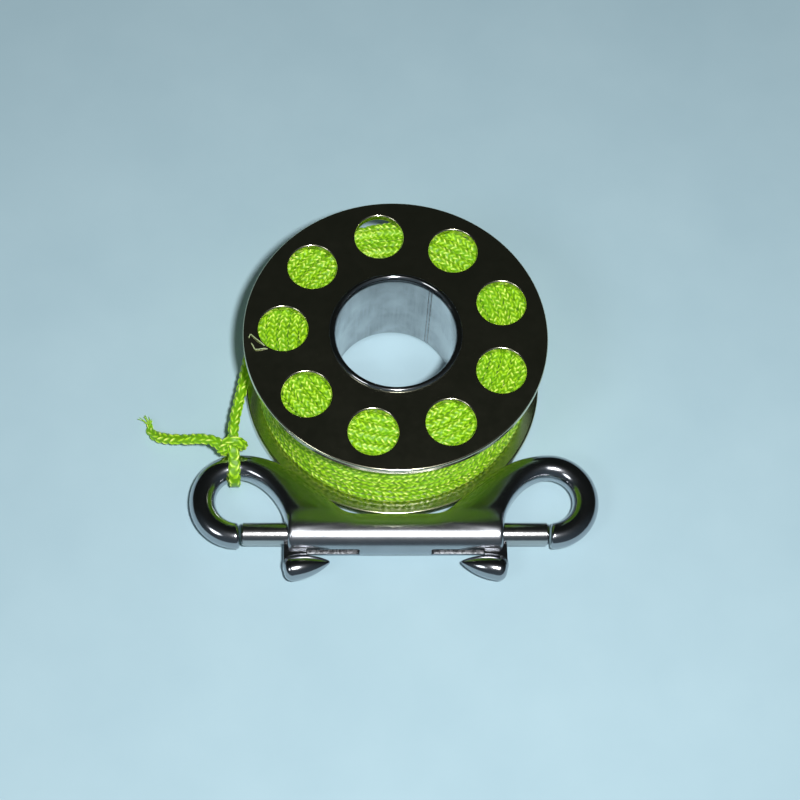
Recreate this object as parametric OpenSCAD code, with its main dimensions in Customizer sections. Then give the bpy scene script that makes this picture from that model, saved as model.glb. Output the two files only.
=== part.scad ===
// Finger spool of braided line, tied to a double-ended bolt snap.
// Lengths are in millimetres. The origin lies on the spool's axis, in the outer face
// of the lower flange. +Z runs up that axis and +X along the snap's barrel.
// The spool stands on the rolled lip of its hub and the barrel lies beside it.

/* [Flanges] */
// Diameter of each flange
flange_d = 74; // [72:0.5:80]
// Thickness of each flange
flange_t = 2; // [1.6:0.1:2.6]
// Radius of the flange's rounded rim
rim_round = 0.5; // [0.2:0.1:0.7]
// Distance over the outer faces of the two flanges
spool_w = 27; // [23:0.5:34]
// Number of clip holes in each flange
clip_holes = 9; // [6:1:9]
// Diameter of a clip hole
clip_hole_d = 12; // [8:0.5:13]
// Distance from the flange's rim to the centres of the clip holes
clip_inset = 9.7; // [9:0.1:11]
// Angle of the first clip hole, measured from +X
clip_phase = 17.9; // [0:0.1:40]
// Radius of the rounded edge of a clip hole
hole_round = 0.3; // [0.1:0.1:0.6]

/* [Hub] */
// Diameter of the finger bore
bore_d = 29.2; // [26:0.2:32]
// Wall of the hub tube
hub_wall = 1.2; // [1:0.1:1.6]
// Height of the rolled lip above the flange's outer face
lip_h = 0.7; // [0.5:0.05:0.9]
// Reach of the rolled lip over the flange
lip_reach = 0.5; // [0.3:0.1:0.9]
// Radius of the lip's edge at the finger bore
lip_round = 0.6; // [0.3:0.1:0.6]

/* [Line] */
// Diameter of the braided line
line_d = 2.6; // [2.2:0.1:2.8]
// Layers of line wound on the hub
line_layers = 7; // [4:1:7]
// Wraps in the knot that ties the line to the snap
knot_wraps = 3; // [2:1:4]

/* [Bolt snap] */
// Length over the two hooks
snap_l = 100; // [96:1:112]
// Distance from the spool's axis to the axis of the barrel
snap_offset = 43.3; // [43.3:0.1:48]
// Diameter of the barrel
barrel_d = 10; // [9.6:0.1:11]
// Radius of the barrel's rounded ends
barrel_round = 0.8; // [0.3:0.1:1.2]
// Length from the end of the barrel to the hook's outermost point
hook_reach = 24; // [23:0.5:26]
// Diameter of the hook's eye
eye_d = 11.9; // [10:0.1:13]
// Width of the hook's bar, seen from above
bar_w = 5.85; // [5:0.05:6.4]
// Height of the hook's bar
bar_h = 6.2; // [5:0.1:6.6]
// Height of the hook's centre over the barrel's axis, towards the spool
hook_rise = 8.65; // [8:0.05:9.5]

/* [Gates] */
// Diameter of each sliding bolt
bolt_d = 5.6; // [5:0.1:5.8]
// Running clearance all round a bolt
bolt_clear = 0.08; // [0.05:0.01:0.1]
// Length of each bolt
bolt_l = 18.7; // [17:0.1:20]
// Gap between the closed bolt and the hook's tip
gate_gap = 0.3; // [0.3:0.1:1]
// Travel of each bolt
gate_travel = 12; // [8:0.5:12]
// Width of the slot that the knob's stem runs in
slot_w = 2.6; // [2.2:0.1:3]
// Clearance of the stem in its slot, each side
slot_clear = 0.1; // [0.05:0.05:0.2]
// Length of the stem along the barrel
stem_l = 5.7; // [4:0.1:6]
// Diameter of the tenon that holds the stem in its bolt
tenon_d = 2; // [1.4:0.1:2.1]
// Length of each thumb knob
knob_l = 11.2; // [9:0.1:12]
// Largest diameter of a thumb knob
knob_d = 5.9; // [5:0.1:6.4]
// Radius of the knob's blunt end
knob_round = 2; // [1:0.1:2.4]
// Lean of the knob's point towards the barrel
knob_tilt = 11; // [0:1:14]
// Gap between a knob and the barrel
knob_gap = 0.9; // [0.5:0.1:2]
// Diameter of the spring wire
wire_d = 0.5; // [0.4:0.05:0.55]
// Free turns of each spring
spring_turns = 5; // [4:1:5]

/* [Hidden] */
$fn = 96;

steel = "silver";
polished = "gainsboro";
cord = "greenyellow";

// Cutters run this far past the faces that they cut.
past = 1;
// Clearance between pieces that seat on each other
seat = 0.02;

// Spool
flange_r = flange_d / 2;
bore_r = bore_d / 2;
hub_r = bore_r + hub_wall;
clip_r = clip_hole_d / 2;
clip_circle_r = flange_r - clip_inset;
lip_r = hub_r + lip_reach;

// Winding: turns side by side in layers, between the flanges
wound_w = spool_w - 2 * flange_t - 2 * seat;
turns = round(wound_w / line_d);
turn_pitch = wound_w / turns;
turn_r = min(line_d, turn_pitch) / 2;

// Snap: x is measured along the barrel from its middle, v from its axis towards the spool
snap_z = barrel_d / 2 - lip_h;
barrel_r = barrel_d / 2;
barrel_half = snap_l / 2 - hook_reach;
eye_r = eye_d / 2;
hook_r = eye_r + bar_w;
hook_x = snap_l / 2 - hook_r;
// The eye sits this much nearer the barrel than the hook's outer curve.
eye_shift = 0.5;
// The hook's outer curve is this much taller than wide.
hook_stretch = 1.04;

// Web between the barrel and the hook, as two curves: the outer edge and the eye's edge
outer_end = 90;
eye_end = 100;
outer_pull = 16;
outer_root = [-17, 0.7 * barrel_r];
outer_root_pull = 5.5;
eye_root = [0.4, 0.4 * barrel_r];
eye_pull = 5.5;
eye_root_pull = 5.5;
eye_root_way = [1, 8];
root_h = 0.87 * barrel_d;
// Squareness of the web's section at its root, on the outer side and on the eye's side
root_square = 2.6;
eye_square = 5;
web_steps = 14;

// Ring of the hook, from the top of the eye round to the tip
tip_outer = -90;
tip_eye = -84;
tip_angle = 3;
tip_scale = 0.84;
ring_steps = 26;
section_sides = 24;

// Gate parts
bolt_r = bolt_d / 2;
bolt_bore_r = bolt_r + bolt_clear;
hook_tip_x = hook_x - hook_r * sin(tip_angle);
bolt_nose_x = hook_tip_x - gate_gap;
bolt_tail_x = bolt_nose_x - bolt_l;
nose_bevel = 0.5;
slot_end_clear = 0.4;
knob_overhang = 1;
knob_reach = barrel_half + knob_overhang;
stem_x = knob_reach - stem_l;
slot_inner_x = stem_x - gate_travel - slot_end_clear;
stem_t = slot_w - 2 * slot_clear;
knob_r = knob_d / 2;
knob_point_r = 0.35;
knob_axis = barrel_r + knob_gap + knob_r;
knob_arc_sides = 180;
tenon_r = tenon_d / 2;
tenon_floor = 0.2 * bolt_d;

// Springs: closed end turns, then open turns between the bore's floor and the bolt
wire_r = wire_d / 2;
coil_clear = 0.1;
coil_r = bolt_bore_r - wire_r - coil_clear;
closed_pitch = 1.2 * wire_d;
spring_solid = spring_turns * wire_d + 3 * closed_pitch;
bore_floor_x = bolt_tail_x - gate_travel - spring_solid - seat;
spring_x0 = bore_floor_x + wire_r + seat;
spring_x1 = bolt_tail_x - wire_r - seat;
coil_steps = 12;
wire_sides = 6;

// Free line: its routes lie on round points, and clear the winding and the lower flange
cord_r = line_d / 2;
cord_sides = 8;
lead_route = [[-32.2, 15.6, 8.0], [-34.3, 10.2, 8.0], [-35.6, 5.0, 8.0], [-36.8, -1.0, 8.2],
              [-37.8, -7.0, 8.4], [-38.8, -12.0, 8.6], [-39.4, -16.0, 8.7], [-39.6, -20.5, 8.8]];
tag_route = [[-42.0, -22.0, 8.8], [-44.4, -20.2, 8.4], [-47.8, -19.0, 7.0], [-52.2, -18.2, 5.0],
             [-56.4, -17.0, 3.0], [-59.0, -15.6, 1.6], [-60.5, -13.8, 0.8], [-60.7, -12.0, 0.7]];
cord_rings = 18;
// A route's last point is read this far before its end.
route_end = 0.0001;

// Knot on the hook: a loop round the bar, and wraps over it
loop_x = -39.3;
loop_bar_r = bar_h / 2;
loop_cord_r = 0.93;
knot_at = [-39.6, -22.2, 8.8];
knot_wrap_pitch = 2;
knot_wrap_r = 1.1;
knot_sides = 32;

function lerp(a, b, t) = a + (b - a) * t;
function ease(t) = (1 - cos(180 * t)) / 2;
function unit(v) = v / norm(v);
function bezier(p0, p1, p2, p3, t) =
    pow(1 - t, 3) * p0 + 3 * t * pow(1 - t, 2) * p1 + 3 * t * t * (1 - t) * p2 + pow(t, 3) * p3;

// Point of a smooth curve through a list of points, at t from 0 to 1
function spline(pts, t) =
    let (n = len(pts) - 1, s = min(t * n, n - route_end), i = floor(s), u = s - i,
         p0 = pts[max(i - 1, 0)], p1 = pts[i], p2 = pts[i + 1], p3 = pts[min(i + 2, n)])
    (2 * p1 + (p2 - p0) * u + (2 * p0 - 5 * p1 + 4 * p2 - p3) * u * u
        + (3 * p1 - p0 - 3 * p2 + p3) * u * u * u) / 2;

// Closed skin over rings of points that all have the same number of sides
module skin(rings) {
    n = len(rings);
    m = len(rings[0]);
    polyhedron(
        points = [for (r = rings) each r],
        faces = [
            [for (k = [0 : m - 1]) k],
            for (i = [0 : n - 2]) for (k = [0 : m - 1])
                [i * m + k, (i + 1) * m + k, (i + 1) * m + (k + 1) % m],
            for (i = [0 : n - 2]) for (k = [0 : m - 1])
                [i * m + k, (i + 1) * m + (k + 1) % m, i * m + (k + 1) % m],
            [for (k = [m - 1 : -1 : 0]) (n - 1) * m + k]
        ],
        convexity = 6);
}

// Ring of a round tube about point p, square to direction d
function tube_ring(p, d, r, sides) =
    let (w = unit(d), side = unit(cross(w, [0, 0, 1])), up = cross(side, w))
    [for (k = [0 : sides - 1]) p + r * (cos(360 * k / sides) * side + sin(360 * k / sides) * up)];

// Tube of radius r along a curve through the route's points
module swept_line(route, r, rings, sides) {
    path = [for (i = [0 : rings]) spline(route, i / rings)];
    skin([for (i = [0 : rings])
        tube_ring(path[i], path[min(i + 1, rings)] - path[max(i - 1, 0)], r, sides)]);
}

// ---------- spool ----------

// Half section of a flange, lying between z = 0 and its thickness
module flange_section() {
    inner = hub_r + seat;
    translate([inner, 0]) square([flange_r - rim_round - inner, flange_t]);
    translate([inner, rim_round]) square([flange_r - inner, flange_t - 2 * rim_round]);
    for (z = [rim_round, flange_t - rim_round])
        translate([flange_r - rim_round, z]) circle(rim_round);
}

// Half section of a hole with rounded edges at both faces
module hole_section() {
    translate([0, -past]) square([clip_r, flange_t + 2 * past]);
    for (face = [0, 1])
        translate([0, face * flange_t]) mirror([0, face]) difference() {
            square([clip_r + hole_round, hole_round]);
            translate([clip_r + hole_round, hole_round]) circle(hole_round);
        }
}

module flange() {
    color(steel) difference() {
        rotate_extrude() flange_section();
        for (i = [0 : clip_holes - 1])
            rotate(clip_phase + i * 360 / clip_holes)
                translate([clip_circle_r, 0]) rotate_extrude() hole_section();
    }
}

module upper_flange() {
    translate([0, 0, spool_w - flange_t]) flange();
}

module lower_flange() {
    flange();
}

// Half section of the lip rolled over the lower flange, below z = 0
module lip_section() {
    straight = lip_h - lip_round;
    translate([bore_r, -straight]) square([lip_r - lip_h - bore_r, straight + past]);
    translate([bore_r + lip_round, -lip_h]) square([lip_r - lip_h - bore_r - lip_round, lip_h]);
    translate([bore_r + lip_round, -straight]) circle(lip_round);
    intersection() {
        translate([lip_r - lip_h, 0]) circle(lip_h);
        translate([bore_r, -lip_h]) square([lip_r - bore_r, lip_h]);
    }
}

module hub_tube() {
    color(steel) rotate_extrude() {
        translate([bore_r, 0]) square([hub_wall, spool_w]);
        lip_section();
        translate([0, spool_w]) mirror([0, 1]) lip_section();
    }
}

// Turns lie in rows; only the outer turns of each row and layer show their round shape.
module winding_section() {
    z0 = flange_t + seat;
    r0 = hub_r + seat;
    translate([r0 + line_d / 2, z0 + turn_pitch / 2])
        square([(line_layers - 1) * line_d, (turns - 1) * turn_pitch]);
    for (layer = [0 : line_layers - 1])
        for (turn = [0 : turns - 1])
            if (layer == line_layers - 1 || layer == 0 || turn == 0 || turn == turns - 1)
                translate([r0 + (layer + 0.5) * line_d, z0 + (turn + 0.5) * turn_pitch])
                    circle(turn_r);
}

module line_winding() {
    color(cord) rotate_extrude() winding_section();
}

// ---------- free line ----------

module line_lead() {
    color(cord) swept_line(lead_route, cord_r, cord_rings, cord_sides);
}

module line_tag() {
    color(cord) swept_line(tag_route, cord_r, cord_rings, cord_sides);
}

// Half section of one wrap of the knot: a disc with a round rim
module knot_wrap_section() {
    translate([0, -knot_wrap_r]) square([knot_wrap_r, 2 * knot_wrap_r]);
    translate([knot_wrap_r, 0]) circle(knot_wrap_r, $fn = knot_sides);
}

module line_knot() {
    bar_v = (outer_point(outer_end) + eye_point(outer_end))[1] / 2;
    color(cord) {
        translate([loop_x, bar_v - snap_offset, snap_z]) rotate([0, 90, 0])
            rotate_extrude() translate([loop_bar_r + loop_cord_r, 0]) circle(loop_cord_r, $fn = knot_sides);
        translate(knot_at) rotate([0, 90, 0])
            for (i = [0 : knot_wraps - 1])
                translate([0, 0, (i - (knot_wraps - 1) / 2) * knot_wrap_pitch])
                    rotate_extrude() knot_wrap_section();
    }
}

// ---------- bolt snap ----------

// Puts the right half's parts in place; side is 1 for the right and -1 for the left
module on_snap(side) {
    translate([0, -snap_offset, snap_z]) mirror([side < 0 ? 1 : 0, 0, 0]) children();
}

// Points of the hook's outer curve and of the eye, by their angle
function outer_point(a) = [hook_x, hook_rise] + hook_r * [cos(a), hook_stretch * sin(a)];
function eye_point(a) = [hook_x - eye_shift, hook_rise] + eye_r * [cos(a), sin(a)];

function outer_edge(t) =
    let (top = outer_point(outer_end), root = [barrel_half, 0] + outer_root)
    bezier(root, root + [outer_root_pull, 0], top - [outer_pull, 0], top, t);

function eye_edge(t) =
    let (top = eye_point(eye_end), root = [barrel_half, 0] + eye_root,
         along = [-sin(eye_end), cos(eye_end)])
    bezier(root, root + eye_root_pull * unit(eye_root_way), top + eye_pull * along, top, t);

// Section from the outer edge to the eye's edge; an exponent of 2 makes a side elliptic
function hook_ring(outer, inner, h, outer_power, inner_power) =
    let (mid = (outer + inner) / 2, half = (outer - inner) / 2)
    [for (k = [0 : section_sides - 1])
        let (a = 360 * k / section_sides,
             power = cos(a) > 0 ? outer_power : inner_power,
             c = sign(cos(a)) * pow(abs(cos(a)), 2 / power),
             s = sign(sin(a)) * pow(abs(sin(a)), 2 / power))
        [mid[0] + half[0] * c, mid[1] + half[1] * c, h / 2 * s]];

function web_ring(t) =
    hook_ring(outer_edge(t), eye_edge(t), lerp(root_h, bar_h, ease(t)),
              lerp(root_square, 2, t), lerp(eye_square, 2, t * t));

function bar_ring(t, grow) =
    let (a = lerp(outer_end, tip_outer, t), b = lerp(eye_end, tip_eye, t),
         o = outer_point(a), e = eye_point(b),
         mid = (o + e) / 2)
    hook_ring(lerp(mid, o, grow), lerp(mid, e, grow), bar_h * grow, 2, 2);

// Web and hook of the right half, as one skin that ends in the hook's rounded tip
module hook() {
    skin(concat(
        [for (i = [0 : web_steps - 1]) web_ring(i / web_steps)],
        [for (i = [0 : ring_steps]) bar_ring(i / ring_steps, 1)],
        [bar_ring(1 + tip_angle / (outer_end - tip_outer), tip_scale)]));
}

module barrel() {
    rotate([0, 90, 0]) rotate_extrude() {
        half = barrel_half - barrel_round;
        translate([0, -half]) square([barrel_r, 2 * half]);
        translate([0, -barrel_half]) square([barrel_r - barrel_round, 2 * barrel_half]);
        for (z = [-half, half])
            translate([barrel_r - barrel_round, z]) circle(barrel_round);
    }
}

// Bore for the bolt and its spring, and the slot for the knob's stem
module gate_cut() {
    mouth = barrel_half + 2 * past;
    translate([bore_floor_x, 0, 0]) rotate([0, 90, 0])
        cylinder(h = mouth - bore_floor_x, r = bolt_bore_r);
    translate([slot_inner_x, -barrel_r - past, -slot_w / 2])
        cube([mouth - slot_inner_x, barrel_r + past, slot_w]);
}

module snap_body() {
    color(polished) difference() {
        union() {
            on_snap(1) barrel();
            for (side = [-1, 1])
                on_snap(side) hook();
        }
        for (side = [-1, 1])
            on_snap(side) gate_cut();
    }
}

// Sliding bolt with a bevelled nose and a cross hole for the stem's tenon
module bolt(side) {
    color(polished) on_snap(side) difference() {
        translate([bolt_tail_x, 0, 0]) rotate([0, 90, 0]) {
            cylinder(h = bolt_l - nose_bevel, r = bolt_r);
            translate([0, 0, bolt_l - nose_bevel])
                cylinder(h = nose_bevel, r1 = bolt_r, r2 = bolt_r - nose_bevel);
        }
        translate([stem_x + stem_l / 2, tenon_floor, 0]) rotate([90, 0, 0])
            cylinder(h = tenon_floor + bolt_r + past, r = tenon_r + seat);
    }
}

// Half section of a thumb knob: a blunt round end that narrows along an arc to a point
module knob_section() {
    point_l = knob_l - knob_r;
    taper = knob_r - knob_point_r;
    arc_r = (point_l * point_l + taper * taper) / (2 * taper);
    intersection() {
        translate([knob_r - arc_r, 0]) circle(arc_r, $fn = knob_arc_sides);
        translate([0, -point_l]) square([knob_r, point_l]);
    }
    square([knob_r, knob_r - knob_round]);
    square([knob_r - knob_round, knob_r]);
    translate([knob_r - knob_round, knob_r - knob_round]) intersection() {
        circle(knob_round);
        square([knob_round, knob_round]);
    }
}

// Thumb knob, with the flat stem that runs in the slot and the tenon that enters the bolt
module knob(side) {
    color(polished) on_snap(side) {
        translate([knob_reach - knob_r, -knob_axis, 0]) rotate([0, 0, -knob_tilt])
            rotate([0, 90, 0]) rotate_extrude() knob_section();
        translate([stem_x, -knob_axis, -stem_t / 2])
            cube([stem_l, knob_axis - bolt_r - seat, stem_t]);
        translate([stem_x + stem_l / 2, tenon_floor - seat, 0]) rotate([90, 0, 0])
            cylinder(h = knob_axis + tenon_floor - seat, r = tenon_r);
    }
}

// Distance along the spring after a number of turns, with one closed turn at each end
function spring_at(turn) =
    let (closed = closed_pitch, n = spring_turns + 2, rest = spring_x1 - spring_x0 - 2 * closed)
    turn < 1 ? closed * turn
        : turn > n - 1 ? closed + rest + closed * (turn - n + 1)
        : closed + rest * (turn - 1) / (n - 2);

module spring(side) {
    steps = (spring_turns + 2) * coil_steps;
    path = [for (i = [0 : steps])
        let (turn = i / coil_steps)
        [spring_x0 + spring_at(turn), coil_r * cos(360 * turn), coil_r * sin(360 * turn)]];
    color(steel) on_snap(side)
        skin([for (i = [0 : steps])
            let (d = path[min(i + 1, steps)] - path[max(i - 1, 0)],
                 w = unit(d), out = unit([0, path[i][1], path[i][2]]), up = cross(w, out))
            [for (k = [0 : wire_sides - 1])
                path[i] + wire_r * (cos(360 * k / wire_sides) * out + sin(360 * k / wire_sides) * up)]]);
}

module left_bolt() {
    bolt(-1);
}

module right_bolt() {
    bolt(1);
}

module left_knob() {
    knob(-1);
}

module right_knob() {
    knob(1);
}

module left_spring() {
    spring(-1);
}

module right_spring() {
    spring(1);
}

upper_flange();
lower_flange();
hub_tube();
line_winding();
line_lead();
line_knot();
line_tag();
snap_body();
left_bolt();
right_bolt();
left_knob();
right_knob();
left_spring();
right_spring();
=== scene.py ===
"""Finger spool of braided line tied to a bolt snap: the dressed model in the CAD frame.

Lengths below are in millimetres in the CAD frame and become metres in make_mesh.
"""
import math

import bpy
import numpy as np
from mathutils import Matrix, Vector
from mathutils.bvhtree import BVHTree


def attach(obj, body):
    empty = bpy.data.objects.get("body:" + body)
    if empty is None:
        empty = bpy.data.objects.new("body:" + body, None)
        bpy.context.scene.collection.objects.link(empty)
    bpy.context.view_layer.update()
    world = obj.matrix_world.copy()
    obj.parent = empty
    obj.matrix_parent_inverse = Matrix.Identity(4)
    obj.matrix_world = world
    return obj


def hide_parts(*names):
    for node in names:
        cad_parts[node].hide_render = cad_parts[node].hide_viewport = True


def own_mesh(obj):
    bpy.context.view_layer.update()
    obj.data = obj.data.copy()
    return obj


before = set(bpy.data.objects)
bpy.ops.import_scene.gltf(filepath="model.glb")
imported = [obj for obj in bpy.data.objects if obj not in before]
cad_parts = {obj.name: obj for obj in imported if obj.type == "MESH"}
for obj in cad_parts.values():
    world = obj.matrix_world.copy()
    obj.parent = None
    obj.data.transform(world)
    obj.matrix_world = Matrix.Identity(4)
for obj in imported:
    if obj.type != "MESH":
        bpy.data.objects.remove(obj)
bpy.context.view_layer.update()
scene = bpy.context.scene
MM = 0.001
TAU = 2 * math.pi

# Sizes, as in the part's source
FLANGE_R, FLANGE_T, RIM_ROUND, SPOOL_W = 37.0, 2.0, 0.5, 27.0
CLIP_HOLES, CLIP_R, CLIP_CIRCLE_R, CLIP_PHASE = 9, 6.0, 27.3, 17.9
BORE_R, HUB_R, LIP_H, LIP_R = 14.6, 15.8, 0.7, 16.3
TABLE_Z = -LIP_H
LINE_D, LAYERS, TURNS = 2.6, 7, 9
SEAT = 0.02
TURN_PITCH = (SPOOL_W - 2 * FLANGE_T - 2 * SEAT) / TURNS
SNAP_OFFSET, SNAP_Z = 43.3, 4.3
BARREL_R, BARREL_HALF, BARREL_ROUND = 5.0, 26.0, 0.8
HOOK_R, HOOK_X, HOOK_RISE, HOOK_STRETCH = 11.8, 38.2, 8.65, 1.04
EYE_R, EYE_SHIFT, BAR_H = 5.95, 0.5, 6.2
OUTER_END, EYE_END, TIP_ANGLE = 90, 100, 3
OUTER_ROOT, OUTER_ROOT_PULL, OUTER_PULL = (-17, 0.7 * BARREL_R), 5.5, 16
EYE_ROOT, EYE_ROOT_PULL, EYE_PULL, EYE_ROOT_WAY = (0.4, 0.4 * BARREL_R), 5.5, 5.5, (1.0, 8.0)
ROOT_H, ROOT_SQUARE, EYE_SQUARE = 8.7, 2.6, 5
GATE_TRAVEL, GATE_GAP = 12.0, 0.3
BOLT_R, BOLT_BORE_R, BOLT_L = 2.8, 2.88, 18.7
BOLT_NOSE_X = HOOK_X - HOOK_R * math.sin(math.radians(TIP_ANGLE)) - GATE_GAP
BOLT_TAIL_X = BOLT_NOSE_X - BOLT_L
KNOB_L, KNOB_R, KNOB_ROUND, KNOB_TILT, KNOB_GAP = 11.2, 2.95, 2.0, 11.0, 0.9
KNOB_POINT_R, KNOB_OVERHANG = 0.35, 1
KNOB_REACH, KNOB_AXIS = BARREL_HALF + KNOB_OVERHANG, BARREL_R + KNOB_GAP + KNOB_R
STEM_L, STEM_T, SLOT_W, SLOT_END_CLEAR = 5.7, 2.4, 2.6, 0.4
STEM_X = KNOB_REACH - STEM_L
SLOT_INNER_X = STEM_X - GATE_TRAVEL - SLOT_END_CLEAR
WIRE_R, SPRING_TURNS, CLOSED_PITCH, COIL_CLEAR = 0.25, 5, 0.6, 0.1
COIL_R = BOLT_BORE_R - WIRE_R - COIL_CLEAR
SPRING_SOLID = SPRING_TURNS * 2 * WIRE_R + 3 * CLOSED_PITCH
BORE_FLOOR_X = BOLT_TAIL_X - GATE_TRAVEL - SPRING_SOLID - SEAT
LEAD_ROUTE = [(-32.2, 15.6, 8.0), (-34.3, 10.2, 8.0), (-35.6, 5.0, 8.0), (-36.8, -1.0, 8.2),
              (-37.8, -7.0, 8.4), (-38.8, -12.0, 8.6), (-39.4, -16.0, 8.7), (-39.6, -20.5, 8.8)]
TAG_ROUTE = [(-42.0, -22.0, 8.8), (-44.4, -20.2, 8.4), (-47.8, -19.0, 7.0), (-52.2, -18.2, 5.0),
             (-56.4, -17.0, 3.0), (-59.0, -15.6, 1.6), (-60.5, -13.8, 0.8), (-60.7, -12.0, 0.7)]

# Sizes of the dressed model alone
HOLE_ROUND = 0.45
FLARE_W, FLARE_H = LIP_R - LIP_H - BORE_R, 1.7
SEAM_AT, SEAM_H, SEAM_W = 53.0, 0.07, 1.1
WEB_TOP_SQUARE = 4.5
STITCH_PITCH, STITCH_L, STITCH_W, STITCH_LEAN = 1.45, 0.86, 0.31, 36
FREE_STITCH = 1.35
MEAN_CREST = 0.75
KNOT_ROUTE = [(-39.6, -20.5, 8.8), (-39.45, -22.6, 8.95), (-39.2, -24.6, 8.75), (-39.1, -26.6, 8.25),
              (-39.1, -28.4, 7.1), (-39.1, -29.5, 5.0), (-39.1, -29.2, 2.6), (-39.2, -27.4, 0.9),
              (-39.3, -25.2, 0.35), (-39.5, -22.9, 1.3), (-40.2, -21.4, 3.4), (-41.5, -21.4, 5.3),
              (-42.3, -22.2, 7.2), (-41.4, -22.2, 8.2), (-40.2, -21.2, 6.7), (-38.6, -20.9, 6.6),
              (-37.2, -21.5, 8.2), (-37.6, -21.6, 10.0), (-39.2, -21.3, 11.0), (-40.9, -21.4, 10.2),
              (-42.0, -22.0, 8.8)]
THREAD_ROUTES = [[(-35.5, -1.6, 27.1), (-35.1, -0.7, 27.2), (-34.6, -1.2, 27.3), (-33.5, -2.3, 27.4),
                  (-32.6, -3.0, 27.3), (-31.5, -3.8, 26.8), (-30.4, -4.2, 25.6), (-29.4, -4.4, 24.2)],
                 [(-34.9, -3.1, 27.1), (-34.4, -4.0, 27.3), (-34.0, -4.8, 27.2), (-33.3, -4.9, 27.3),
                  (-31.6, -4.6, 27.2), (-30.3, -4.6, 26.4), (-29.2, -4.8, 25.0), (-28.4, -4.9, 24.2)]]


# ---------- camera ----------
camera = bpy.data.objects.new("camera", bpy.data.cameras.new("camera"))
scene.collection.objects.link(camera)
camera.location = (-0.02043, -0.24640, 0.47657)
camera.rotation_euler = [math.radians(a) for a in (26.9148, -2.2087, -0.949)]
camera.data.lens = 95.304
camera.data.sensor_width = 36
camera.data.clip_start, camera.data.clip_end = 0.01, 50
scene.camera = camera


# ---------- mesh helpers ----------
def make_mesh(name, verts, quads=(), tris=(), normals=None, values=None):
    """Smooth-shaded object from points in millimetres."""
    quads = np.asarray(quads, int).reshape(-1, 4)
    tris = np.asarray(tris, int).reshape(-1, 3)
    mesh = bpy.data.meshes.new(name)
    corners = np.concatenate([quads.ravel(), tris.ravel()])
    starts = np.concatenate([np.arange(len(quads)) * 4, len(quads) * 4 + np.arange(len(tris)) * 3])
    mesh.vertices.add(len(verts))
    mesh.loops.add(len(corners))
    mesh.polygons.add(len(starts))
    mesh.vertices.foreach_set("co", (np.asarray(verts) * MM).astype(np.float32).ravel())
    mesh.loops.foreach_set("vertex_index", corners.astype(np.int32))
    mesh.polygons.foreach_set("loop_start", starts.astype(np.int32))
    mesh.polygons.foreach_set("use_smooth", np.ones(len(starts), bool))
    for key, data in (values or {}).items():
        mesh.attributes.new(key, "FLOAT", "POINT").data.foreach_set("value", data.astype(np.float32))
    mesh.update(calc_edges=True)
    if normals is not None:
        mesh.normals_split_custom_set_from_vertices(np.asarray(normals, np.float32))
    ob = bpy.data.objects.new(name, mesh)
    scene.collection.objects.link(ob)
    return ob


def grid_quads(rows, cols, closed=False, start=0):
    """Quads over a grid of points in row order; closed joins the last column to the first."""
    i, j = np.meshgrid(np.arange(rows - 1), np.arange(cols if closed else cols - 1), indexing="ij")
    k = (j + 1) % cols
    here, above = i * cols, (i + 1) * cols
    return start + np.stack([here + j, here + k, above + k, above + j], -1).reshape(-1, 4)


def unit(v):
    return v / np.maximum(np.linalg.norm(v, axis=-1, keepdims=True), 1e-12)


def smooth(t):
    """Smooth step from 0 to 1."""
    t = np.clip(t, 0, 1)
    return t * t * (3 - 2 * t)


def wave(x, seed, scale, count=512):
    """Seeded smooth noise from -1 to 1 along x."""
    table = np.random.default_rng(seed).uniform(-1, 1, count)
    t = np.asarray(x) / scale
    i = np.floor(t).astype(int)
    f = smooth(t - i)
    return table[i % count] * (1 - f) + table[(i + 1) % count] * f


def spline(points, n, finer=4):
    """n + 1 points of a Catmull-Rom curve through the given ones, evenly spaced."""
    p = np.asarray(points, float)
    t = np.linspace(0, len(p) - 1, n * finer + 1)
    i = np.minimum(t.astype(int), len(p) - 2)
    u = (t - i)[:, None]
    a, b, c, d = p[np.maximum(i - 1, 0)], p[i], p[i + 1], p[np.minimum(i + 2, len(p) - 1)]
    fine = (2 * b + (c - a) * u + (2 * a - 5 * b + 4 * c - d) * u ** 2 + (3 * b - a - 3 * c + d) * u ** 3) / 2
    s = lengths(fine)
    at = np.linspace(0, s[-1], n + 1)
    return np.stack([np.interp(at, s, fine[:, k]) for k in range(3)], -1)


def lengths(path):
    """Length along a path from its first point to each of its points."""
    return np.concatenate([[0], np.cumsum(np.linalg.norm(np.diff(path, axis=0), axis=1))])


def carried_frames(path, side):
    """Side and up directions along a path, carried without twist from the given side."""
    way = unit(np.gradient(path, axis=0))
    sides = []
    side = np.asarray(side, float)
    for w in way:
        side = side - np.dot(side, w) * w
        side = side / np.linalg.norm(side)
        sides.append(side)
    sides = np.array(sides)
    return sides, np.cross(way, sides)


def arc(cx, cy, r, a0, a1, n):
    """Arc as rows of x, y and the outward normal, with angles in degrees."""
    a = np.radians(np.linspace(a0, a1, n + 1))
    return np.stack([cx + r * np.cos(a), cy + r * np.sin(a), np.cos(a), np.sin(a)], -1)


def flat(x0, y0, x1, y1, n=1):
    """Straight run as rows of x, y and the normal to its right-hand side."""
    t = np.linspace(0, 1, n + 1)
    length = math.hypot(x1 - x0, y1 - y0)
    nx, ny = (y1 - y0) / length, -(x1 - x0) / length
    return np.stack([x0 + (x1 - x0) * t, y0 + (y1 - y0) * t, nx + 0 * t, ny + 0 * t], -1)


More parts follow.
